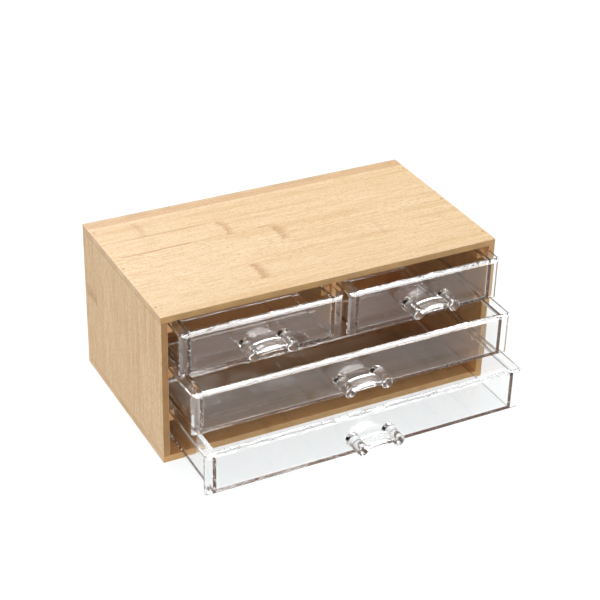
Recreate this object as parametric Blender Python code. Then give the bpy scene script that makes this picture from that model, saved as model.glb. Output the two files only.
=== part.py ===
"""Bamboo desk organizer with four clear pull-out drawers.

Metres, +Z up.  X runs across the width and the open front faces -Y.  The origin is
the centre of the base.  The drawers stand part way out, the lowest one furthest.
"""
from math import cos, pi, radians, sin

import bmesh
import bpy
from mathutils import Matrix

# Casing
WIDTH = 0.311
DEPTH = 0.172
HEIGHT = 0.140
PANEL = 0.006
FIT = 0.0003                    # gap kept between faces that touch
ARRIS = 0.0006                  # softened edge of a bamboo board

# Drawer rows, counted from the bottom
ROW_BOTTOM = (0.0097, 0.0518, 0.0939)
FRONT_HEIGHT = 0.0384
FRONT_THICKNESS = 0.004
# Bevel along the plate's top and both ends: depth and width of its outer and of its whole slope
FRONT_BEVEL = ((0.0007, 0.0016), (0.0022, 0.0032))
FRONT_FOOT = 0.0008             # height of the small bevel along the bottom
SIDE_CLEARANCE = 0.0018         # front plate to side panel
MIDDLE_CLEARANCE = 0.0007       # front plate to divider
TRAY_LENGTH = 0.1575
TRAY_WALL = 0.0030
TRAY_FLOOR = 0.0022
TRAY_FILLET = 0.0005
RIM_WIDTH = 0.0070              # overhang of the rim and of the front plate
RIM_THICKNESS = 0.0030
OVERCUT = 0.002                 # how far cutting shapes reach past the faces they cut

# Divider and runners
DIVIDER = 0.004
DIVIDER_SETBACK = 0.002
RUNNER_WIDTH = 0.006
RUNNER_HEIGHT = 0.008
RUNNER_SETBACK = 0.0048         # the closed front plates stand ahead of the runners
RUNNER_LENGTH = 0.158

# Handle: two posts that point forward, joined by an arched bar
POST_SPACING = 0.034
POST_RADIUS = 0.0050
POST_LENGTH = 0.020
POST_CHAMFER = 0.0004
COLLAR_RADIUS = 0.0060
COLLAR_LENGTH = 0.0050
POST_HEIGHT = 0.0166            # axis above the lower edge of the front plate
BAR_START = 0.0056
BAR_END = 0.0186
BAR_UNDERSIDE = (-0.0026, 0.0012)  # height at its ends from the post axis, and rise
BAR_TOP = (0.0016, 0.0028)
BAR_REACH = 0.45                # how far the bar's ends stop short of the post axes, in post radii
POST_SIDES = 28

# Pins that hold the casing together
PIN_RADIUS = 0.0010
PIN_LENGTH = 0.016
PIN_SIDES = 12
PIN_DEPTHS = (-0.070, -0.002, 0.066)  # along the depth, for the top and the bottom
PIN_HEIGHTS = (0.020, 0.070, 0.120)   # up the back panel

PLASTIC_IOR = 1.49
SMOOTH_ANGLE = radians(35)      # sharper edges than this stay sharp

# How far each drawer stands out: name, row, which half of the width, travel
DRAWERS = (
    ("bottom", 0, "full", 0.067),
    ("middle", 1, "full", 0.043),
    ("top_left", 2, "left", 0.020),
    ("top_right", 2, "right", 0.020),
)


def clear_scene():
    for obj in list(bpy.data.objects):
        bpy.data.objects.remove(obj, do_unlink=True)


def make_material(name, colour, roughness, transmission=0.0):
    material = bpy.data.materials.new(name)
    material.use_nodes = True
    shader = material.node_tree.nodes["Principled BSDF"]
    shader.inputs["Base Color"].default_value = (*colour, 1.0)
    shader.inputs["Roughness"].default_value = roughness
    shader.inputs["Transmission Weight"].default_value = transmission
    if transmission:
        shader.inputs["IOR"].default_value = PLASTIC_IOR
    return material


def add_object(name, mesh, material, parent=None, location=(0, 0, 0)):
    obj = bpy.data.objects.new(name, mesh)
    obj.location = location
    obj.parent = parent
    if not mesh.materials:
        mesh.materials.append(material)
    bpy.context.scene.collection.objects.link(obj)
    return obj


def mesh_from(bm, name, smooth=False):
    bmesh.ops.recalc_face_normals(bm, faces=bm.faces[:])
    mesh = bpy.data.meshes.new(name)
    bm.to_mesh(mesh)
    bm.free()
    if smooth:
        mesh.shade_smooth()
        mesh.set_sharp_from_angle(angle=SMOOTH_ANGLE)
    return mesh


def block_bmesh(low, high, bevel=0.0, segments=1):
    """Box between two corners, with every edge bevelled if asked."""
    bm = bmesh.new()
    size = [b - a for a, b in zip(low, high)]
    centre = [(a + b) / 2 for a, b in zip(low, high)]
    bmesh.ops.create_cube(bm, size=1.0, matrix=Matrix.Translation(centre) @ Matrix.Diagonal((*size, 1)))
    if bevel:
        bmesh.ops.bevel(bm, geom=bm.edges[:], offset=bevel, segments=segments, affect="EDGES", profile=0.5)
    return bm


def extrude_outline(points, axis, start, end):
    """Closed prism: a two-dimensional outline swept along X or Y."""
    bm = bmesh.new()
    if axis == "X":
        ring = [bm.verts.new((start, a, b)) for a, b in points]
        step = (end - start, 0, 0)
    else:
        ring = [bm.verts.new((a, start, b)) for a, b in points]
        step = (0, end - start, 0)
    face = bm.faces.new(ring)
    swept = bmesh.ops.extrude_face_region(bm, geom=[face])
    moved = [item for item in swept["geom"] if isinstance(item, bmesh.types.BMVert)]
    bmesh.ops.translate(bm, vec=step, verts=moved)
    return bm


def add_rod(bm, centre, axis, sections, sides):
    """Turned rod added to bm; sections are (distance along the axis, radius)."""
    rings = []
    for distance, radius in sections:
        ring = []
        for index in range(sides):
            angle = 2 * pi * index / sides
            across = (radius * cos(angle), radius * sin(angle))
            if axis == "Y":
                offset = (across[0], distance, across[1])
            else:
                offset = (across[0], across[1], distance)
            ring.append(bm.verts.new([c + o for c, o in zip(centre, offset)]))
        rings.append(ring)
    for lower, upper in zip(rings, rings[1:]):
        for index in range(sides):
            following = (index + 1) % sides
            bm.faces.new((lower[index], lower[following], upper[following], upper[index]))
    bm.faces.new(rings[0])
    bm.faces.new(rings[-1])


def combine(name, base, tool, operation, smooth=False):
    """Mesh of base with tool cut away from it or joined to it."""
    target = bpy.data.objects.new(name, mesh_from(base, name))
    cutter = bpy.data.objects.new(name + "_tool", mesh_from(tool, name + "_tool"))
    cutter.hide_render = True
    cutter.display_type = "WIRE"
    for obj in (target, cutter):
        bpy.context.scene.collection.objects.link(obj)
    modifier = target.modifiers.new("shape", "BOOLEAN")
    modifier.operation = operation
    modifier.object = cutter
    modifier.solver = "EXACT"
    bpy.context.view_layer.update()
    depsgraph = bpy.context.evaluated_depsgraph_get()
    mesh = bpy.data.meshes.new_from_object(target.evaluated_get(depsgraph))
    mesh.name = name
    bpy.data.objects.remove(target)
    bpy.data.objects.remove(cutter)
    if smooth:
        mesh.shade_smooth()
        mesh.set_sharp_from_angle(angle=SMOOTH_ANGLE)
    return mesh


def pin_places():
    """Every pin: its name, the middle of its head, and the way that it points."""
    across = WIDTH / 2 - PANEL / 2
    for side, x in (("left", -across), ("right", across)):
        for number, y in enumerate(PIN_DEPTHS, 1):
            yield f"top_pin_{side}_{number}", (x, y, HEIGHT), ("Z", -1)
            yield f"bottom_pin_{side}_{number}", (x, y, 0.0), ("Z", 1)
        for number, z in enumerate(PIN_HEIGHTS, 1):
            yield f"back_pin_{side}_{number}", (x, DEPTH / 2, z), ("Y", -1)


def pin_holes(low, high):
    """Clearance holes for the pins whose heads or tips lie within the given box."""
    bm = bmesh.new()
    for _, head, (axis, way) in pin_places():
        tip = list(head)
        tip["XYZ".index(axis)] += way * PIN_LENGTH
        touches = all(min(h, t) <= b and max(h, t) >= a for h, t, a, b in zip(head, tip, low, high))
        if touches:
            ends = (-way * OVERCUT, way * (PIN_LENGTH + FIT))
            sections = [(end, PIN_RADIUS + FIT) for end in ends]
            add_rod(bm, head, axis, sections, PIN_SIDES)
    return bm


def make_board(name, low, high, material):
    mesh = combine(name, block_bmesh(low, high, ARRIS), pin_holes(low, high), "DIFFERENCE")
    return add_object(name, mesh, material)


def make_casing(bamboo, edge_bamboo):
    """Six panels: the top and bottom lie over the sides, the back closes the rear."""
    half, front = WIDTH / 2, -DEPTH / 2
    inner_back = DEPTH / 2 - PANEL - FIT
    low_side, high_side = PANEL + FIT, HEIGHT - PANEL - FIT
    make_board("bottom_panel", (-half, front, 0), (half, inner_back, PANEL), bamboo)
    make_board("top_panel", (-half, front, HEIGHT - PANEL), (half, inner_back, HEIGHT), bamboo)
    make_board("left_side_panel", (-half, front, low_side), (-half + PANEL, inner_back, high_side), bamboo)
    make_board("right_side_panel", (half - PANEL, front, low_side), (half, inner_back, high_side), bamboo)
    make_board("back_panel", (-half, DEPTH / 2 - PANEL, 0), (half, DEPTH / 2, HEIGHT), bamboo)
    low = (-DIVIDER / 2, front + DIVIDER_SETBACK, ROW_BOTTOM[2])
    high = (DIVIDER / 2, inner_back, high_side)
    add_object("divider", mesh_from(block_bmesh(low, high, ARRIS), "divider"), edge_bamboo)


def make_runners(material):
    """Battens under the drawers' rims, on the side panels and on the divider."""
    wall = WIDTH / 2 - PANEL - FIT
    centre = DIVIDER / 2 + FIT
    places = [("bottom_left", 0, -wall, 1), ("bottom_right", 0, wall, -1),
              ("middle_left", 1, -wall, 1), ("middle_right", 1, wall, -1),
              ("top_left_outer", 2, -wall, 1), ("top_left_inner", 2, -centre, -1),
              ("top_right_inner", 2, centre, 1), ("top_right_outer", 2, wall, -1)]
    front = -DEPTH / 2 + RUNNER_SETBACK
    for name, row, x, inward in places:
        top = ROW_BOTTOM[row] + FRONT_HEIGHT - RIM_THICKNESS - FIT
        far = x + inward * RUNNER_WIDTH
        low = (min(x, far), front, top - RUNNER_HEIGHT)
        high = (max(x, far), front + RUNNER_LENGTH, top)
        mesh = mesh_from(block_bmesh(low, high, ARRIS), "runner")
        add_object(f"runner_{name}", mesh, material)


def make_pins(material):
    for name, head, (axis, way) in pin_places():
        bm = bmesh.new()
        sections = [(0, PIN_RADIUS), (way * PIN_LENGTH, PIN_RADIUS)]
        add_rod(bm, (0, 0, 0), axis, sections, PIN_SIDES)
        add_object(name, mesh_from(bm, "pin", smooth=True), material, location=head)


def tray_mesh(width):
    """Tray open at the top and at the front, with a rim along both sides.

    Its origin is the middle of the lower rear edge of the front plate.
    """
    rim, body = width / 2, width / 2 - RIM_WIDTH
    under_rim = FRONT_HEIGHT - RIM_THICKNESS
    half = [(rim, FRONT_HEIGHT), (rim, under_rim), (body, under_rim), (body, 0)]
    outline = half + [(-x, z) for x, z in reversed(half)]
    solid = extrude_outline(outline, "Y", FIT, FIT + TRAY_LENGTH)
    inside = body - TRAY_WALL
    low = (-inside, -OVERCUT, TRAY_FLOOR)
    high = (inside, FIT + TRAY_LENGTH - TRAY_WALL, FRONT_HEIGHT + OVERCUT)
    cavity = block_bmesh(low, high, TRAY_FILLET, segments=2)
    return combine("tray", solid, cavity, "DIFFERENCE", smooth=True)


def front_mesh(width):
    """Front plate with a wide bevel along its top and both ends, and a narrow one below."""
    (near_depth, near_width), (depth, whole) = FRONT_BEVEL
    bm = bmesh.new()
    layers = ((0.0, 0.0, 0.0), (depth - FRONT_THICKNESS, 0.0, 0.0),
              (near_depth - FRONT_THICKNESS, whole - near_width, FRONT_FOOT * near_depth / depth),
              (-FRONT_THICKNESS, whole, FRONT_FOOT))
    for y, inward, foot in layers:
        reach, top = width / 2 - inward, FRONT_HEIGHT - inward
        for x, z in ((-reach, foot), (reach, foot), (reach, top), (-reach, top)):
            bm.verts.new((x, y, z))
    bmesh.ops.convex_hull(bm, input=bm.verts[:])
    return mesh_from(bm, "front")


def bar_outline(steps=12):
    """Arched bar seen from the front, running from post to post."""
    reach = POST_SPACING / 2 - POST_RADIUS * BAR_REACH
    points = []
    for (height, rise), way in ((BAR_UNDERSIDE, 1), (BAR_TOP, -1)):
        for index in range(steps + 1):
            t = way * (2 * index / steps - 1)
            points.append((t * reach, height + rise * (1 - t * t)))
    return points


def handle_mesh():
    """Both posts and the bar; its origin is midway between the posts at the plate."""
    bar = extrude_outline(bar_outline(), "Y", -BAR_END, -BAR_START)
    posts = bmesh.new()
    sections = [(-FIT, COLLAR_RADIUS), (-COLLAR_LENGTH, COLLAR_RADIUS), (-COLLAR_LENGTH, POST_RADIUS),
                (POST_CHAMFER - POST_LENGTH, POST_RADIUS), (-POST_LENGTH, POST_RADIUS - POST_CHAMFER)]
    for x in (-POST_SPACING / 2, POST_SPACING / 2):
        add_rod(posts, (x, 0, 0), "Y", sections, POST_SIDES)
    return combine("handle", bar, posts, "UNION", smooth=True)


def drawer_span(half):
    """Left and right ends of a drawer's front plate."""
    outer = WIDTH / 2 - PANEL - SIDE_CLEARANCE
    inner = DIVIDER / 2 + MIDDLE_CLEARANCE
    return {"full": (-outer, outer), "left": (-outer, -inner), "right": (inner, outer)}[half]


def make_drawers(plastic):
    """Each drawer hangs on an empty that slides along Y."""
    shapes = {}
    handle = handle_mesh()
    for name, row, half, travel in DRAWERS:
        left, right = drawer_span(half)
        width = right - left
        key = round(width, 6)
        if key not in shapes:
            shapes[key] = (tray_mesh(width), front_mesh(width))
        tray, front = shapes[key]
        slide = bpy.data.objects.new(f"{name}_slide", None)
        slide.empty_display_size = 0.01
        slide.location = ((left + right) / 2, -DEPTH / 2 - travel + FRONT_THICKNESS, ROW_BOTTOM[row])
        bpy.context.scene.collection.objects.link(slide)
        add_object(f"{name}_drawer_tray", tray, plastic, slide)
        add_object(f"{name}_drawer_front", front, plastic, slide)
        add_object(f"{name}_drawer_handle", handle, plastic, slide, (0, -FRONT_THICKNESS, POST_HEIGHT))


def build():
    clear_scene()
    bamboo = make_material("bamboo", (0.86, 0.66, 0.42), 0.45)
    edge_bamboo = make_material("bamboo_edge", (0.62, 0.42, 0.20), 0.55)
    pin_wood = make_material("pin_wood", (0.40, 0.24, 0.10), 0.6)
    plastic = make_material("clear_plastic", (0.97, 0.98, 0.98), 0.04, transmission=1.0)
    make_casing(bamboo, edge_bamboo)
    make_runners(edge_bamboo)
    make_pins(pin_wood)
    make_drawers(plastic)


build()
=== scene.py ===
"""Looks of the bamboo desk organizer: softened bamboo boards with strips, knuckles and
fibres, and four clear plastic drawers, each cast in one piece, on a pale studio floor.

Metres, +Z up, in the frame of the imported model.  The front faces -Y.
"""
from math import cos, pi, radians, sin

import bmesh
import bpy
from mathutils import Matrix, Vector


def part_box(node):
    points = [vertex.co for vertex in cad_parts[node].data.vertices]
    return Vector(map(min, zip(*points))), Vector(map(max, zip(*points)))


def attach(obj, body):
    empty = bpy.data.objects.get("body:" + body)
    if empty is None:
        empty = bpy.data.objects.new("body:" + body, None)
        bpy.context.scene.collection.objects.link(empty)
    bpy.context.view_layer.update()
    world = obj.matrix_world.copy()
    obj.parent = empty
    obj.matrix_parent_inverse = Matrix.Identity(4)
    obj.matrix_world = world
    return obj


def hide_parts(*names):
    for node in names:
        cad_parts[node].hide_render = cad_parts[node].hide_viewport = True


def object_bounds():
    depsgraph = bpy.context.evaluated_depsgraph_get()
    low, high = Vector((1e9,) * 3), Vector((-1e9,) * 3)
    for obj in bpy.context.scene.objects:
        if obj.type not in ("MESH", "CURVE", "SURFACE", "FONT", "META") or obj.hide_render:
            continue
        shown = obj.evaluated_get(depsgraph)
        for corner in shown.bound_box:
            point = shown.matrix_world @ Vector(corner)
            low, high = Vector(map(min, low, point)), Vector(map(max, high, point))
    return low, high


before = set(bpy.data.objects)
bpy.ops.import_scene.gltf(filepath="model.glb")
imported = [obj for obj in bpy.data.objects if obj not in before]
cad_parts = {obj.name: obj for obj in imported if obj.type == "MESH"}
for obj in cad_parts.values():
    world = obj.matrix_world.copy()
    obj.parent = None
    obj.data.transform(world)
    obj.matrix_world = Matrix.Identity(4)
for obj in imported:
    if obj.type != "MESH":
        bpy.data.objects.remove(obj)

cad_low, cad_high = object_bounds()

# Camera
CAMERA_PLACE = (-0.5633, -1.0852, 0.7945)
CAMERA_HEADING = radians(27.97)   # turned from +Y towards +X
CAMERA_TILT = radians(30.59)      # looking down
CAMERA_ROLL = radians(1.56)
LENS = 96.8                       # millimetres
SENSOR_WIDTH = 36.0               # millimetres
CLIPPING = (0.01, 50.0)

# Bamboo boards
BOARD_BEVEL = 0.0004
BOARD_BEVEL_STEPS = 2
JOINT_GAP = 0.0001                # fine line left between two boards
EDGE_FACING = 0.3                 # a face is a board's edge when its normal across the board is under this
PIN_HOLE = 0.00108                # radius
PIN_HOLE_DEEPER = 0.001           # than the pin's end
PIN_HOLE_SIDES = 24
STRIP_WIDTH = 0.0267              # one laminated strip
# Where a strip starts, across the grain
FLAT_STRIPS = 0.042
SIDE_STRIPS = -0.0105
BACK_STRIPS = 0.010
RUNNER_STRIPS = 0.004
TOP_CONTRAST = 1.6
SIDE_CONTRAST = 2.1
BAMBOO_LIGHT = (0.945, 0.715, 0.455)
# Side panels: the top's bamboo darkened, painted shade for sides that get less light
BAMBOO_SIDE_PAINTED_SHADE = (0.805, 0.578, 0.335)
# Inside the case: the bamboo darker and redder, painted shade
BAMBOO_INSIDE_PAINTED_SHADE = (0.86, 0.47, 0.20)
FRONT_EDGE = (0.60, 0.345, 0.130)
POST_EDGE = (0.42, 0.215, 0.075)
OUTER_EDGE = (0.74, 0.51, 0.29)
BAMBOO_SPECULAR = 0.35
PIN_DARK = (0.52, 0.26, 0.10)
PIN_LIGHT = (0.72, 0.43, 0.21)
# Shades within a board, as parts of its light colour
PALE_SHADE = (1.03, 1.03, 1.03)
WARM_SHADE = (0.955, 0.925, 0.86)
DARK_SHADE = (0.82, 0.71, 0.54)
DEEP_SHADE = (0.60, 0.42, 0.29)
# Shades within a cut edge
CLOUD_SHADE = (0.86, 0.86, 0.86)
DOT_SHADE = (0.55, 0.55, 0.55)
# Grain patterns: scale along the grain, scale across it, detail, roughness
DRIFT = (7.0, 105.0, 3.0, 0.55)
FIBRE = (38.0, 1100.0, 2.0, 0.6)
DASH = (240.0, 1700.0, 1.0, 0.55)
PORE = (420.0, 2900.0, 1.0, 0.55)
STREAK_WANDER = (14.0, 30.0, 2.0, 0.55)
KNUCKLE_RAG = (90.0, 420.0, 2.0, 0.7)
KNUCKLE_SPECKLE = (420.0, 1100.0, 1.0, 0.55)
STRIP_SHIFT = 7.0                 # moves the patterns of one strip away from its neighbour's
# Where a pattern's noise starts to darken the wood, where it has done so fully, and by how much
DRIFT_TONE = (0.48, 0.72, 0.40)
FIBRE_TONE = (0.44, 0.70, 0.55)
DASH_TONE = (0.54, 0.68, 0.60)
PORE_TONE = (0.60, 0.70, 0.55)
SEAM_WIDTH = 0.020                # as a part of the strip's
SEAM_STRENGTH = 0.75
STREAK_WANDER_WIDTH = 0.0016
STREAK_CORE = 0.4                 # part of a streak's half width that has its full strength
STREAK_FADE = 0.006               # at both ends of a streak
KNUCKLE_RAG_WIDTH = 0.0060
KNUCKLE_BOW = 11.0                # bend of a knuckle across its strip
# A knuckle's line and the patch after it: parts of the knuckle's width, and strengths
KNUCKLE_LINE = (0.35, 0.80)
KNUCKLE_PATCH = (0.4, 0.9)
KNUCKLE_SIDES = (0.46, 0.50)      # parts of the strip's width between which a knuckle fades
# Knuckles: place along the grain, place across it, strength, width of the darker patch
TOP_KNUCKLES = ((-0.116, 0.0553, 0.55, 0.007), (-0.047, 0.0286, 0.85, 0.008),
                (-0.008, 0.0020, 0.90, 0.010), (-0.053, -0.0514, 1.00, 0.010),
                (0.075, -0.0247, 0.30, 0.006))
SIDE_KNUCKLES = ((0.077, 0.0695, 0.95, 0.013), (0.030, -0.0370, 0.20, 0.006))
BACK_KNUCKLES = ((0.060, 0.0500, 0.50, 0.007), (-0.090, 0.1034, 0.50, 0.007))
# Streaks: place across the grain, half width, start, end, strength
TOP_STREAKS = ((0.0763, 0.0042, -0.160, 0.160, 0.45), (0.0420, 0.0007, -0.160, -0.056, 0.75),
               (0.0160, 0.0012, -0.150, -0.081, 0.65), (0.0170, 0.0008, -0.025, -0.008, 0.70))

# Clear plastic
PLASTIC_COLOUR = (0.985, 0.99, 0.99)
PLASTIC_IOR = 1.53
# Ripples from moulding: scale, strength, depth
FLAT_RIPPLE = (55.0, 0.05, 0.0004)
BEVEL_RIPPLE = (170.0, 0.4, 0.0006)
FLAT_NORMAL = 0.93                # a face is flat when one part of its normal is above this

# Drawers: the same shape as the solids, with softened edges
TRAY_WALL = 0.0030
TRAY_FLOOR = 0.0022
TRAY_FILLET = 0.0005
TRAY_FILLET_STEPS = 5
CAVITY_ABOVE = 0.02               # the cutter of the inside stands this far over the rim
RIM_OVERHANG = 0.0070
RIM_THICKNESS = 0.0030
RIM_INSET = 0.0003                # the rims' ends stand this far inside the plate's ends
# Bevel along the plate's top and both ends: depth and width of its outer and of its whole slope
PLATE_BEVEL = ((0.0007, 0.0016), (0.0022, 0.0032))
PLATE_FOOT = 0.0008
EDGE_SOFTENING = 0.00022
EDGE_STEPS = 3
POST_SPACING = 0.034
POST_RADIUS = 0.0050
POST_CHAMFER = 0.0004
COLLAR_RADIUS = 0.0060
COLLAR_LENGTH = 0.0050
COLLAR_ROUNDING = 0.0007
COLLAR_STEPS = 5
COLLAR_ROOT = 0.0015              # inside the plate
COLLAR_START = 0.0002             # full radius begins this far in front of the plate
BAR_START = 0.0056                # from the plate's face
BAR_END = 0.0186
BAR_UNDERSIDE = (-0.0026, 0.0012)  # height at its ends from the post's axis, and rise
BAR_TOP = (0.0016, 0.0028)
BAR_REACH = 0.45                  # its ends' distance from a post's axis, as a part of the radius
BAR_STEPS = 24
BAR_ROUNDING = 0.0016
BAR_ROUNDING_STEPS = 6
POST_SIDES = 72

# Meshes
FLAT_AREA = 2.0e-5                # square metres, above which a face stays exactly flat
SHARP_ANGLE = radians(32)         # edges that turn by less are shaded smooth
SOFTENED_ANGLE = radians(40)      # edges that turn by more are rounded
LEVEL_ANGLE = radians(0.5)        # faces that meet at less than this are joined
TINY = 1e-6

# Studio
FLOOR_HALF_SIZE = 6.0
FLOOR_DROP = 0.0002               # under the object's feet
FLOOR_COLOUR = (0.28, 0.28, 0.28)
FLOOR_ROUGHNESS = 0.9
FLOOR_GLOW = (0.97, 0.99, 1.0)
FLOOR_GLOW_STRENGTH = 0.80
WORLD_COLOUR = (1.0, 1.0, 1.0)
WORLD_STRENGTH = 0.48
CASE_FOOT = (0, 0, 0)
CASE_FRONT = (0, 0, 0.05)
DRAWER_FRONTS = (0, -0.12, 0.07)
# Lights: place, point they face, size, power in watts
SOFT_LIGHTS = {
    "overhead": ((0.0, 0.4, 1.6), CASE_FOOT, (1.8, 1.8), 19),
    "front": ((-0.5, -1.8, 0.5), CASE_FRONT, (1.4, 0.8), 6),
}
HIGHLIGHTS = {
    "front_highlight": ((0.90, -1.48, 1.60), DRAWER_FRONTS, (0.9, 0.7), 28),
    "low_highlight": ((0.90, -2.00, 0.65), DRAWER_FRONTS, (0.9, 0.6), 20),
    "rear_highlight": ((-0.05, 1.60, 1.50), DRAWER_FRONTS, (0.7, 0.5), 22),
}
UNSCATTERED = 0.5                 # over a ray's count of scattering surfaces when there are none
CLEAR_BOUNCES = 96
DIFFUSE_BOUNCES = 8


# Shader graphs

class Graph:
    """A material's node tree, with short calls for the nodes used here."""

    def __init__(self, name):
        self.material = bpy.data.materials.new(name)
        self.material.use_nodes = True
        self.tree = self.material.node_tree
        self.shader = self.tree.nodes["Principled BSDF"]

    def node(self, kind, inputs=(), **settings):
        made = self.tree.nodes.new(kind)
        for key, value in settings.items():
            setattr(made, key, value)
        for key, value in dict(inputs).items():
            self.feed(made.inputs[key], value)
        return made

    def feed(self, socket, value):
        if isinstance(value, bpy.types.NodeSocket):
            self.tree.links.new(value, socket)
        else:
            socket.default_value = value

    def math(self, operation, *values):
        made = self.node("ShaderNodeMath", operation=operation)
        for socket, value in zip(made.inputs, values):
            self.feed(socket, value)
        return made.outputs[0]

    def smooth(self, value, start, end, low=0.0, high=1.0):
        """Smooth step of value from start to end, giving low to high."""
        inputs = {"Value": value, "From Min": start, "From Max": end, "To Min": low, "To Max": high}
        return self.node("ShaderNodeMapRange", inputs, interpolation_type="SMOOTHSTEP").outputs["Result"]

    def vector(self, x, y, z):
        return self.node("ShaderNodeCombineXYZ", {"X": x, "Y": y, "Z": z}).outputs[0]

    def noise(self, vector, detail, roughness, scale=1.0):
        inputs = {"Vector": vector, "Scale": scale, "Detail": detail, "Roughness": roughness}
        return self.node("ShaderNodeTexNoise", inputs).outputs[0]

    def mix(self, factor, first, second):
        made = self.node("ShaderNodeMix", data_type="RGBA", clamp_factor=True)
        self.feed(made.inputs["Factor"], factor)
        self.feed(made.inputs[6], first)
        self.feed(made.inputs[7], second)
        return made.outputs[2]

    def set(self, **values):
        """Sets the shader's own sockets, named with _ for each space."""
        for key, value in values.items():
            self.feed(self.shader.inputs[key.replace("_", " ")], value)


def rgb(*values):
    return (*values, 1.0)


def shaded(colour, shade):
    """colour times shade, channel by channel, as a node's colour."""
    return rgb(*[min(1.0, part * factor) for part, factor in zip(colour, shade)])


def bamboo(name, grain, across, offset, marks=(), streaks=(), light=BAMBOO_LIGHT, contrast=1.0):
    """Laminated bamboo, with the strips along one axis and side by side along another.

    marks are knuckles, each (along, across, strength, width); streaks are darker lines along
    the grain, each (across, half width, from, to, strength).
    """
    g = Graph(name)
    place = g.node("ShaderNodeTexCoord").outputs["Object"]
    split = g.node("ShaderNodeSeparateXYZ", {0: place})
    along, side = split.outputs[grain], split.outputs[across]
    position = g.math("DIVIDE", g.math("SUBTRACT", side, offset), STRIP_WIDTH)
    within = g.math("FRACT", position)
    strip = g.math("FLOOR", position)
    tone = g.node("ShaderNodeTexWhiteNoise", {"W": strip}, noise_dimensions="1D").outputs["Value"]
    shift = g.math("MULTIPLY", tone, STRIP_SHIFT)

    def grained(pattern):
        along_scale, side_scale, detail, roughness = pattern
        stretched_along = g.math("MULTIPLY", along, along_scale)
        stretched_side = g.math("MULTIPLY", side, side_scale)
        return g.noise(g.vector(stretched_along, stretched_side, shift), detail, roughness)

    def ragged(pattern, width):
        """Sideways offset, up to about half of width either way."""
        return g.math("MULTIPLY", g.math("SUBTRACT", grained(pattern), 0.5), width)

    drift = grained(DRIFT)
    fibre = grained(FIBRE)
    dash = grained(DASH)
    pore = grained(PORE)

    dark = shaded(light, DARK_SHADE)
    deep = shaded(light, DEEP_SHADE)
    colour = g.mix(tone, shaded(light, PALE_SHADE), shaded(light, WARM_SHADE))
    layers = ((drift, DRIFT_TONE, dark), (fibre, FIBRE_TONE, dark),
              (dash, DASH_TONE, dark), (pore, PORE_TONE, deep))
    for noise, (start, full, strength), shade in layers:
        colour = g.mix(g.smooth(noise, start, full, 0.0, strength * contrast), colour, shade)

    edge = g.math("MINIMUM", within, g.math("SUBTRACT", 1.0, within))
    seam = g.smooth(edge, 0.0, SEAM_WIDTH, SEAM_STRENGTH, 0.0)
    broken_seam = g.math("MULTIPLY", seam, g.smooth(drift, 0.36, 0.55, 0.25, 1.0))
    colour = g.mix(broken_seam, colour, dark)

    wander = ragged(STREAK_WANDER, STREAK_WANDER_WIDTH)
    for place_across, half, start, end, strength in streaks:
        off = g.math("ABSOLUTE", g.math("ADD", g.math("SUBTRACT", side, place_across), wander))
        begun = g.smooth(along, start, start + STREAK_FADE)
        ended = g.smooth(along, end - STREAK_FADE, end, 1.0, 0.0)
        line = g.math("MULTIPLY", g.smooth(off, half * STREAK_CORE, half, strength, 0.0), begun)
        colour = g.mix(g.math("MULTIPLY", line, ended), colour, deep)

    rag = ragged(KNUCKLE_RAG, KNUCKLE_RAG_WIDTH)
    speckle = g.smooth(grained(KNUCKLE_SPECKLE), 0.36, 0.60, 0.35, 1.0)
    line_part, line_strength = KNUCKLE_LINE
    patch_part, patch_strength = KNUCKLE_PATCH
    fade_start, fade_end = [part * STRIP_WIDTH for part in KNUCKLE_SIDES]
    for mark_along, mark_across, strength, width in marks:
        reach = g.math("SUBTRACT", side, mark_across)
        bow = g.math("MULTIPLY", g.math("MULTIPLY", reach, reach), KNUCKLE_BOW)
        distance = g.math("ADD", g.math("ADD", g.math("SUBTRACT", along, mark_along), bow), rag)
        near = g.smooth(g.math("ABSOLUTE", distance), 0.0, width * line_part, line_strength, 0.0)
        before = g.smooth(distance, -width * patch_part, 0.0)
        after = g.math("MULTIPLY", before, g.smooth(distance, 0.0, width, patch_strength, 0.0))
        shape = g.math("MULTIPLY", g.math("MAXIMUM", near, after), speckle)
        inside = g.smooth(g.math("ABSOLUTE", reach), fade_start, fade_end, strength, 0.0)
        colour = g.mix(g.math("MULTIPLY", shape, inside), colour, deep)

    rough = g.smooth(fibre, 0.3, 0.8, 0.40, 0.52)
    bump = g.node("ShaderNodeBump", {"Strength": 0.25, "Distance": 0.0002, "Height": fibre})
    g.set(Base_Color=colour, Roughness=rough, Normal=bump.outputs[0])
    g.set(Specular_IOR_Level=BAMBOO_SPECULAR)
    return g.material


def end_grain(name, light):
    """Cut edge of a board: darker, with small dots where the fibres end."""
    g = Graph(name)
    place = g.node("ShaderNodeTexCoord").outputs["Object"]
    cloud = g.noise(place, 3.0, 0.5, 60.0)
    dots = g.node("ShaderNodeTexVoronoi", {"Vector": place, "Scale": 1100.0}).outputs["Distance"]
    colour = g.mix(g.smooth(cloud, 0.35, 0.65), rgb(*light), shaded(light, CLOUD_SHADE))
    colour = g.mix(g.smooth(dots, 0.10, 0.32, 0.45, 0.0), colour, shaded(light, DOT_SHADE))
    bump = g.node("ShaderNodeBump", {"Strength": 0.3, "Distance": 0.0002, "Height": dots})
    g.set(Base_Color=colour, Roughness=g.smooth(cloud, 0.3, 0.7, 0.50, 0.62), Normal=bump.outputs[0])
    return g.material


def pin_material():
    """Pin head of darker, warmer wood than the boards."""
    g = Graph("pin_wood")
    place = g.node("ShaderNodeTexCoord").outputs["Object"]
    cloud = g.noise(place, 3.0, 0.6, 2500.0)
    colour = g.mix(cloud, rgb(*PIN_DARK), rgb(*PIN_LIGHT))
    g.set(Base_Color=colour, Roughness=g.smooth(cloud, 0.3, 0.7, 0.55, 0.75))
    return g.material


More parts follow.
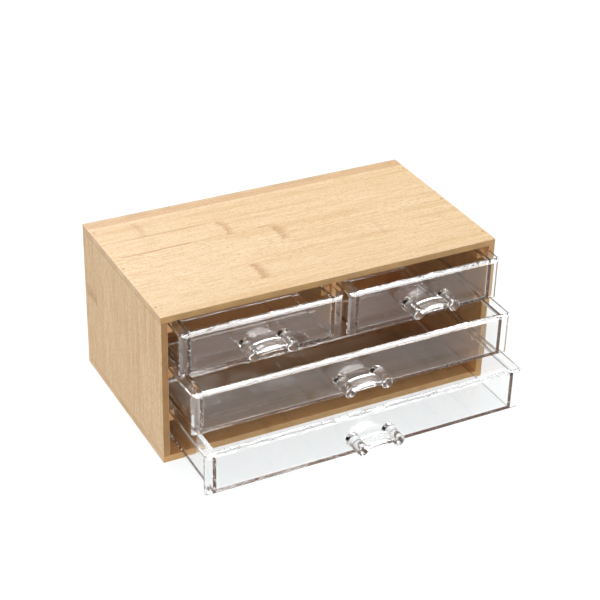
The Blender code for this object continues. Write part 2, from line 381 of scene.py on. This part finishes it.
def clear_plastic(name, ripples):
    """Polished polystyrene; ripples are the scale, strength and depth of its moulding ripples."""
    scale, strength, depth = ripples
    g = Graph(name)
    place = g.node("ShaderNodeTexCoord").outputs["Object"]
    ripple = g.noise(place, 2.0, 0.4, scale)
    bump = g.node("ShaderNodeBump", {"Strength": strength, "Distance": depth, "Height": ripple})
    g.set(Base_Color=rgb(*PLASTIC_COLOUR), Roughness=0.0, IOR=PLASTIC_IOR, Normal=bump.outputs[0])
    g.set(Transmission_Weight=1.0)
    return g.material


# Meshes

def finish_mesh(bm, name):
    """Mesh of bm: small faces are shaded smooth together, and large faces stay exactly flat."""
    bmesh.ops.recalc_face_normals(bm, faces=bm.faces[:])
    large = {face for face in bm.faces if face.calc_area() > FLAT_AREA}
    for face in bm.faces:
        face.smooth = face not in large
    for edge in bm.edges:
        bordering = any(face in large for face in edge.link_faces)
        edge.smooth = not bordering and edge.calc_face_angle(pi) < SHARP_ANGLE
    mesh = bpy.data.meshes.new(name)
    bm.to_mesh(mesh)
    bm.free()
    return mesh


def place_object(name, mesh, *materials):
    for material in materials:
        mesh.materials.append(material)
    obj = bpy.data.objects.new(name, mesh)
    bpy.context.scene.collection.objects.link(obj)
    return obj


def round_edges(bm, edges, offset, steps):
    bmesh.ops.bevel(bm, geom=edges, offset=offset, segments=steps, affect="EDGES", profile=0.5)


def block(low, high, bevel=0.0):
    """Box between two corners, with its edges rounded by bevel if there is one."""
    bm = bmesh.new()
    size = Vector(high) - Vector(low)
    centre = (Vector(high) + Vector(low)) / 2
    stretched = Matrix.Translation(centre) @ Matrix.Diagonal((*size, 1.0))
    bmesh.ops.create_cube(bm, size=1.0, matrix=stretched)
    if bevel:
        round_edges(bm, bm.edges[:], bevel, BOARD_BEVEL_STEPS)
    return bm


def prism(points, start, end):
    """Closed prism: an outline of (x, z) points swept along Y."""
    bm = bmesh.new()
    ring = [bm.verts.new((x, start, z)) for x, z in points]
    swept = bmesh.ops.extrude_face_region(bm, geom=[bm.faces.new(ring)])
    moved = [item for item in swept["geom"] if isinstance(item, bmesh.types.BMVert)]
    bmesh.ops.translate(bm, vec=(0.0, end - start, 0.0), verts=moved)
    return bm


def turned(bm, centre, axis, sections, sides=POST_SIDES):
    """Closed turned shape added to bm; sections are (distance along the axis, radius)."""
    rings = []
    for distance, radius in sections:
        ring = []
        for index in range(sides):
            angle = 2 * pi * index / sides
            across = (radius * cos(angle), radius * sin(angle))
            offset = (across[0], distance, across[1]) if axis == "Y" else (*across, distance)
            ring.append(bm.verts.new(Vector(centre) + Vector(offset)))
        rings.append(ring)
    for lower, upper in zip(rings, rings[1:]):
        for index in range(sides):
            following = (index + 1) % sides
            bm.faces.new((lower[index], lower[following], upper[following], upper[index]))
    bm.faces.new(rings[0])
    bm.faces.new(rings[-1])


def combine(base, *steps):
    """base after each (operation, tool) in turn, as a new bmesh."""
    def as_object(bm, name):
        bmesh.ops.recalc_face_normals(bm, faces=bm.faces[:])
        mesh = bpy.data.meshes.new(name)
        bm.to_mesh(mesh)
        bm.free()
        obj = bpy.data.objects.new(name, mesh)
        bpy.context.scene.collection.objects.link(obj)
        return obj

    target = as_object(base, "target")
    tools = []
    for operation, tool in steps:
        tools.append(as_object(tool, "tool"))
        modifier = target.modifiers.new("shape", "BOOLEAN")
        modifier.operation = operation
        modifier.object = tools[-1]
        modifier.solver = "EXACT"
    bpy.context.view_layer.update()
    mesh = bpy.data.meshes.new_from_object(target.evaluated_get(bpy.context.evaluated_depsgraph_get()))
    for obj in [target, *tools]:
        bpy.data.objects.remove(obj)
    result = bmesh.new()
    result.from_mesh(mesh)
    bpy.data.meshes.remove(mesh)
    return result


def soften(bm, offset):
    """Rounds every convex or concave edge of bm that turns by more than SOFTENED_ANGLE a little."""
    bmesh.ops.dissolve_limit(bm, angle_limit=LEVEL_ANGLE, verts=bm.verts[:], edges=bm.edges[:])
    edges = [e for e in bm.edges if len(e.link_faces) == 2 and e.calc_face_angle() > SOFTENED_ANGLE]
    bmesh.ops.bevel(bm, geom=edges, offset=offset, segments=EDGE_STEPS, affect="EDGES",
                    profile=0.5, clamp_overlap=True)
    return bm


# Casing

def pin_holes(low, high):
    """Blind holes where pins enter the board between two corners."""
    bm = bmesh.new()
    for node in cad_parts:
        if "_pin_" not in node:
            continue
        start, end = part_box(node)
        touches = all(s <= h and e >= l for s, e, l, h in zip(start, end, low, high))
        if not touches:
            continue
        axis = "Y" if end.y - start.y > end.z - start.z else "Z"
        centre = (start + end) / 2
        length = end.y - start.y if axis == "Y" else end.z - start.z
        reach = length / 2 + PIN_HOLE_DEEPER
        turned(bm, centre, axis, [(-reach, PIN_HOLE), (reach, PIN_HOLE)], PIN_HOLE_SIDES)
    return bm


def make_board(name, low, high, materials, thickness_axis):
    """A board; materials are for its outer face, front edge, inner face and other edges."""
    bm = combine(block(low, high, BOARD_BEVEL), ("DIFFERENCE", pin_holes(low, high)))
    mesh = finish_mesh(bm, name)
    piece = place_object(f"{name}_bamboo", mesh, *materials)
    across = "XYZ".index(thickness_axis)
    middle = (cad_low[across] + cad_high[across]) / 2
    inward = 1 if (low[across] + high[across]) / 2 < middle else -1
    # Faces towards the inside of the case take the third material, darker and redder with painted shade
    for face in mesh.polygons:
        facing = face.normal[across] * inward
        if abs(facing) < EDGE_FACING:
            face.material_index = 1 if face.normal.y < -EDGE_FACING else 3
        elif facing > 0:
            face.material_index = 2
    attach(piece, "casing")
    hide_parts(name)


def make_boards():
    edge = end_grain("bamboo_front_edge", FRONT_EDGE)
    post = end_grain("bamboo_post_edge", POST_EDGE)
    outer = end_grain("bamboo_outer_edge", OUTER_EDGE)
    top = bamboo("bamboo_top", "X", "Y", FLAT_STRIPS, TOP_KNUCKLES, TOP_STREAKS, contrast=TOP_CONTRAST)
    # The side panels' outer bamboo is darkened, painted shade
    side = bamboo("bamboo_side_painted_shade", "Z", "Y", SIDE_STRIPS, SIDE_KNUCKLES, light=BAMBOO_SIDE_PAINTED_SHADE,
                  contrast=SIDE_CONTRAST)
    back = bamboo("bamboo_back", "X", "Z", BACK_STRIPS, BACK_KNUCKLES)
    # Inner faces take the darker, redder bamboo, painted shade inside the case
    shaded_inner_side = bamboo("bamboo_inside_side_painted_shade", "Z", "Y", SIDE_STRIPS, light=BAMBOO_INSIDE_PAINTED_SHADE)
    shaded_inner_flat = bamboo("bamboo_inside_flat_painted_shade", "X", "Y", FLAT_STRIPS, light=BAMBOO_INSIDE_PAINTED_SHADE)
    shaded_inner_back = bamboo("bamboo_inside_back_painted_shade", "X", "Z", BACK_STRIPS, light=BAMBOO_INSIDE_PAINTED_SHADE)

    back_low, back_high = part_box("back_panel")
    rear = back_low.y - JOINT_GAP
    flat_materials = (top, edge, shaded_inner_flat, outer)
    for name in ("top_panel", "bottom_panel"):
        low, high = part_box(name)
        make_board(name, low, (high.x, rear, high.z), flat_materials, "Z")
    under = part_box("top_panel")[0].z - JOINT_GAP
    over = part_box("bottom_panel")[1].z + JOINT_GAP
    for name, front in (("left_side_panel", post), ("right_side_panel", edge)):
        low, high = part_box(name)
        side_materials = (side, front, shaded_inner_side, outer)
        make_board(name, (low.x, low.y, over), (high.x, rear, under), side_materials, "X")
    make_board("back_panel", back_low, back_high, (back, edge, shaded_inner_back, outer), "Y")


def dress_node(obj, material):
    """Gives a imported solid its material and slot."""
    obj.data.materials.clear()
    obj.data.materials.append(material)


def dress_small_wood():
    # Runners and divider take the darker, redder bamboo, painted shade inside the case
    inner = bamboo("bamboo_runner", "Y", "Z", RUNNER_STRIPS, light=BAMBOO_INSIDE_PAINTED_SHADE)
    pin = pin_material()
    for node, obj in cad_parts.items():
        if node.startswith("runner_") or node == "divider":
            dress_node(obj, inner)
        if "_pin_" in node:
            dress_node(obj, pin)


# Drawers

def bevelled_plate(low, high):
    """Front plate with a wide bevel along its top and both ends, and a narrow one below."""
    (near_depth, near_width), (depth, width) = PLATE_BEVEL
    bm = bmesh.new()
    # Each layer's place, and how far its top and ends, and its foot, stand inward
    layers = ((high.y, 0.0, 0.0), (low.y + depth, 0.0, 0.0),
              (low.y + near_depth, width - near_width, PLATE_FOOT * near_depth / depth),
              (low.y, width, PLATE_FOOT))
    for y, inward, foot in layers:
        for x in (low.x + inward, high.x - inward):
            for z in (low.z + foot, high.z - inward):
                bm.verts.new((x, y, z))
    bmesh.ops.convex_hull(bm, input=bm.verts[:])
    return bm


def drawer_body(tray, plate):
    """Tray with its rim, joined to the front plate, with softened edges."""
    (low, high), (plate_low, plate_high) = tray, plate
    middle = (low.x + high.x) / 2
    half = (plate_high.x - plate_low.x) / 2 - RIM_INSET
    body = (high.x - low.x) / 2 - RIM_OVERHANG
    under_rim = high.z - RIM_THICKNESS
    right = [(half, high.z), (half, under_rim), (body, under_rim), (body, low.z)]
    outline = [(middle + x, z) for x, z in right] + [(middle - x, z) for x, z in reversed(right)]
    solid = prism(outline, plate_high.y, high.y)

    front = bevelled_plate(plate_low, plate_high)

    inside = body - TRAY_WALL
    cavity = block((middle - inside, plate_high.y, low.z + TRAY_FLOOR),
                   (middle + inside, high.y - TRAY_WALL, high.z + CAVITY_ABOVE))
    floor = low.z + TRAY_FLOOR
    lower = [e for e in cavity.edges if min(v.co.z for v in e.verts) < floor + TINY]
    round_edges(cavity, lower, TRAY_FILLET, TRAY_FILLET_STEPS)
    joined = combine(solid, ("UNION", front), ("DIFFERENCE", cavity))
    return soften(joined, EDGE_SOFTENING)


def bar_outline():
    """Arched bar seen from the front, from inside one post to inside the other."""
    reach = POST_SPACING / 2 - POST_RADIUS * BAR_REACH
    points = []
    for (height, rise), way in ((BAR_UNDERSIDE, 1), (BAR_TOP, -1)):
        for index in range(BAR_STEPS + 1):
            t = way * (2 * index / BAR_STEPS - 1)
            points.append((t * reach, height + rise * (1 - t * t)))
    return points


def collar_sections():
    """Profile of a post's collar, from inside the plate to its rounded front."""
    shoulder = COLLAR_RADIUS - COLLAR_ROUNDING
    sections = [(COLLAR_ROOT, shoulder), (-COLLAR_START, COLLAR_RADIUS)]
    for index in range(COLLAR_STEPS + 1):
        angle = pi / 2 * index / COLLAR_STEPS
        sections.append((-COLLAR_LENGTH + COLLAR_ROUNDING * (1 - sin(angle)),
                         shoulder + COLLAR_ROUNDING * cos(angle)))
    return sections


def add_handle(body, centre, length):
    """body joined with two posts and the arched bar; centre is on the plate's face."""
    posts = []
    for way in (-1, 1):
        bm = bmesh.new()
        sections = collar_sections()
        sections += [(-COLLAR_LENGTH, POST_RADIUS), (POST_CHAMFER - length, POST_RADIUS),
                     (-length, POST_RADIUS - POST_CHAMFER)]
        turned(bm, (centre.x + way * POST_SPACING / 2, centre.y, centre.z), "Y", sections)
        posts.append(("UNION", bm))
    points = [(centre.x + x, centre.z + z) for x, z in bar_outline()]
    bar = prism(points, centre.y - BAR_END, centre.y - BAR_START)
    edges = [e for e in bar.edges if abs(e.verts[0].co.y - e.verts[1].co.y) < TINY]
    round_edges(bar, edges, BAR_ROUNDING, BAR_ROUNDING_STEPS)
    return combine(body, ("UNION", bar), *posts)


def make_drawer(name, plastic, rippled):
    """One drawer; rippled is the plastic of its bevels and rounded faces."""
    nodes = [f"{name}_drawer_{part}" for part in ("tray", "front", "handle")]
    tray, plate, handle = [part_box(node) for node in nodes]
    body = drawer_body(tray, plate)
    centre = Vector(((handle[0].x + handle[1].x) / 2, plate[0].y, (handle[0].z + handle[1].z) / 2))
    bm = add_handle(body, centre, plate[0].y - handle[0].y)
    mesh = finish_mesh(bm, name)
    for face in mesh.polygons:
        if max(abs(part) for part in face.normal) < FLAT_NORMAL:
            face.material_index = 1
    piece = place_object(f"{name}_drawer_clear", mesh, plastic, rippled)
    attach(piece, f"{name}_drawer")
    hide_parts(*nodes)
    piece.visible_shadow = False


# Studio

def make_floor():
    """Pale floor that glows a little, so that it's as white as the picture's."""
    bm = bmesh.new()
    bmesh.ops.create_grid(bm, x_segments=2, y_segments=2, size=FLOOR_HALF_SIZE)
    g = Graph("studio_floor")
    g.set(Base_Color=rgb(*FLOOR_COLOUR), Roughness=FLOOR_ROUGHNESS)
    g.set(Emission_Color=rgb(*FLOOR_GLOW), Emission_Strength=FLOOR_GLOW_STRENGTH)
    g.material.cycles.emission_sampling = "NONE"
    mesh = bpy.data.meshes.new("floor")
    bm.to_mesh(mesh)
    bm.free()
    floor = place_object("floor", mesh, g.material)
    floor.location.z = cad_low.z - FLOOR_DROP


def make_light(name, place, target, size, power, highlights_only=False):
    """Soft rectangular light.

    One for highlights shows only in gloss and through the plastic: it's off for rays that a
    surface has scattered.
    """
    data = bpy.data.lights.new(name, "AREA")
    data.shape = "RECTANGLE"
    data.size, data.size_y = size
    data.energy = power
    light = bpy.data.objects.new(name, data)
    light.location = place
    light.rotation_euler = (Vector(target) - Vector(place)).to_track_quat("-Z", "Y").to_euler()
    if highlights_only:
        light.visible_diffuse = False
        data.use_nodes = True
        nodes, links = data.node_tree.nodes, data.node_tree.links
        unscattered = nodes.new("ShaderNodeMath")
        unscattered.operation = "LESS_THAN"
        unscattered.inputs[1].default_value = UNSCATTERED
        links.new(nodes.new("ShaderNodeLightPath").outputs["Diffuse Depth"], unscattered.inputs[0])
        links.new(unscattered.outputs[0], nodes["Emission"].inputs["Strength"])
    bpy.context.scene.collection.objects.link(light)


def make_world():
    world = bpy.data.worlds.new("studio")
    world.use_nodes = True
    background = world.node_tree.nodes["Background"]
    background.inputs["Color"].default_value = rgb(*WORLD_COLOUR)
    background.inputs["Strength"].default_value = WORLD_STRENGTH
    bpy.context.scene.world = world


def make_camera():
    heading = Vector((sin(CAMERA_HEADING), cos(CAMERA_HEADING), 0))
    forward = heading * cos(CAMERA_TILT) - Vector((0, 0, sin(CAMERA_TILT)))
    level = forward.cross(Vector((0, 0, 1))).normalized()
    upright = level.cross(forward)
    right = level * cos(CAMERA_ROLL) + upright * sin(CAMERA_ROLL)
    up = upright * cos(CAMERA_ROLL) - level * sin(CAMERA_ROLL)
    data = bpy.data.cameras.new("camera")
    data.lens = LENS
    data.sensor_width = SENSOR_WIDTH
    data.clip_start, data.clip_end = CLIPPING
    camera = bpy.data.objects.new("camera", data)
    matrix = Matrix((right, up, -forward)).transposed().to_4x4()
    camera.matrix_world = Matrix.Translation(CAMERA_PLACE) @ matrix
    bpy.context.scene.collection.objects.link(camera)
    bpy.context.scene.camera = camera


def make_studio():
    make_floor()
    make_world()
    for name, light in SOFT_LIGHTS.items():
        make_light(name, *light)
    for name, light in HIGHLIGHTS.items():
        make_light(name, *light, highlights_only=True)
    make_camera()
    scene = bpy.context.scene
    scene.view_settings.view_transform = "Standard"
    scene.cycles.max_bounces = CLEAR_BOUNCES
    scene.cycles.transmission_bounces = CLEAR_BOUNCES
    scene.cycles.glossy_bounces = CLEAR_BOUNCES
    scene.cycles.diffuse_bounces = DIFFUSE_BOUNCES
    scene.cycles.caustics_reflective = False


make_boards()
dress_small_wood()
clear = clear_plastic("clear_plastic", FLAT_RIPPLE)
rippled_clear = clear_plastic("clear_plastic_rippled", BEVEL_RIPPLE)
for drawer in ("bottom", "middle", "top_left", "top_right"):
    make_drawer(drawer, clear, rippled_clear)
make_studio()
